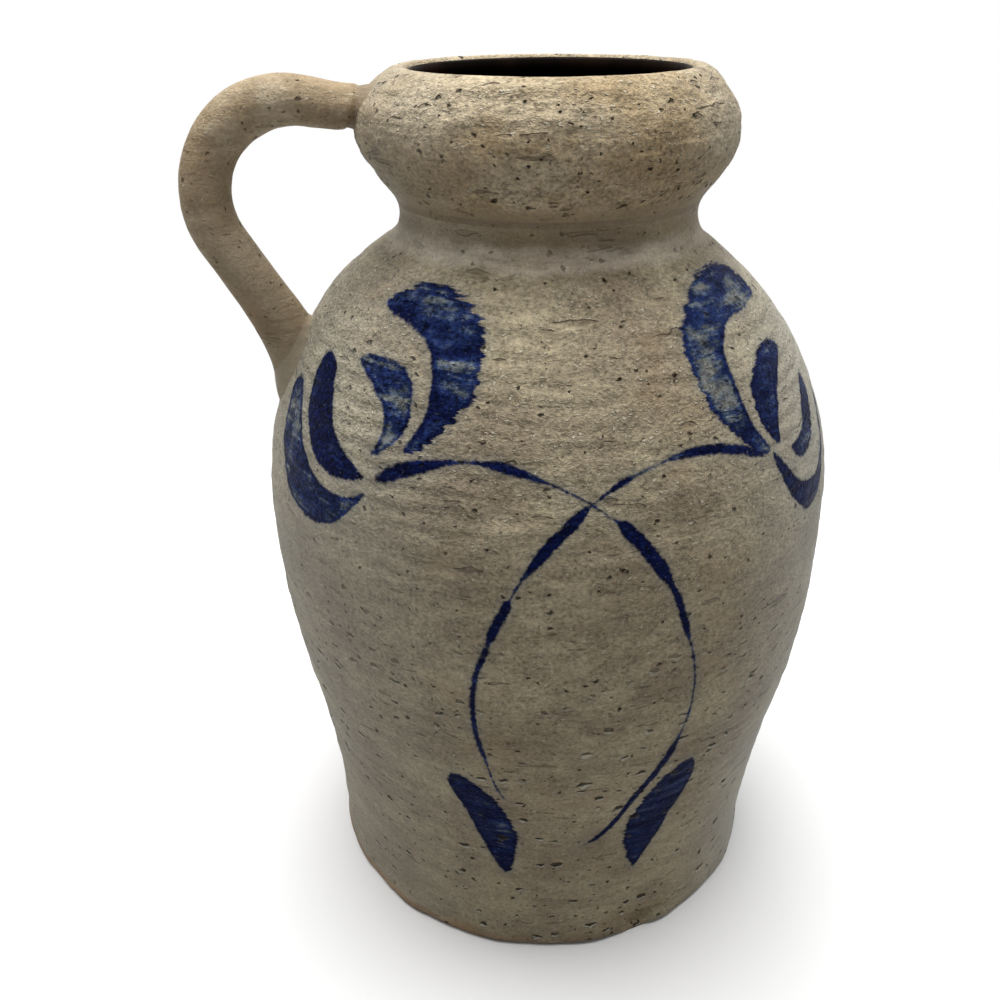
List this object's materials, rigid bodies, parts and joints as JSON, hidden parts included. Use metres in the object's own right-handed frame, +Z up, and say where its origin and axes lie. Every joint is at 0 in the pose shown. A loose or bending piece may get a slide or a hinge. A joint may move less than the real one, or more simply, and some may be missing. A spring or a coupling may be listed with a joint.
{
  "type": "jug vase",
  "caption": "Wheel-thrown grey stoneware jug vase with a bulbous collar, a pulled side handle and brushed cobalt flowers, for standing cut stems in or pouring.",
  "frame": {"origin": "centre of the flat foot, on the pot's axis, at the level it stands on", "axes": "+Z up along the pot's axis, handle towards -X, painted front towards -Y"},
  "size_m": [0.199, 0.184, 0.27],
  "materials": {
    "stoneware": "salt-glazed grey-tan stoneware, rough and speckled",
    "slip": "smooth grey joining slip",
    "liner": "glossy dark brown glaze",
    "cobalt": "brushed cobalt blue under salt glaze"
  },
  "bodies": {
    "root": {"body": "stoneware", "collar": "stoneware", "handle": "stoneware", "neck_slip": "slip", "handle_upper_slip": "slip", "handle_lower_slip": "slip", "liner_glaze": "liner", "left_tulip": "cobalt", "right_tulip": "cobalt", "left_stem": "cobalt", "right_stem": "cobalt", "leaves": "cobalt"}
  },
  "joints": []
}
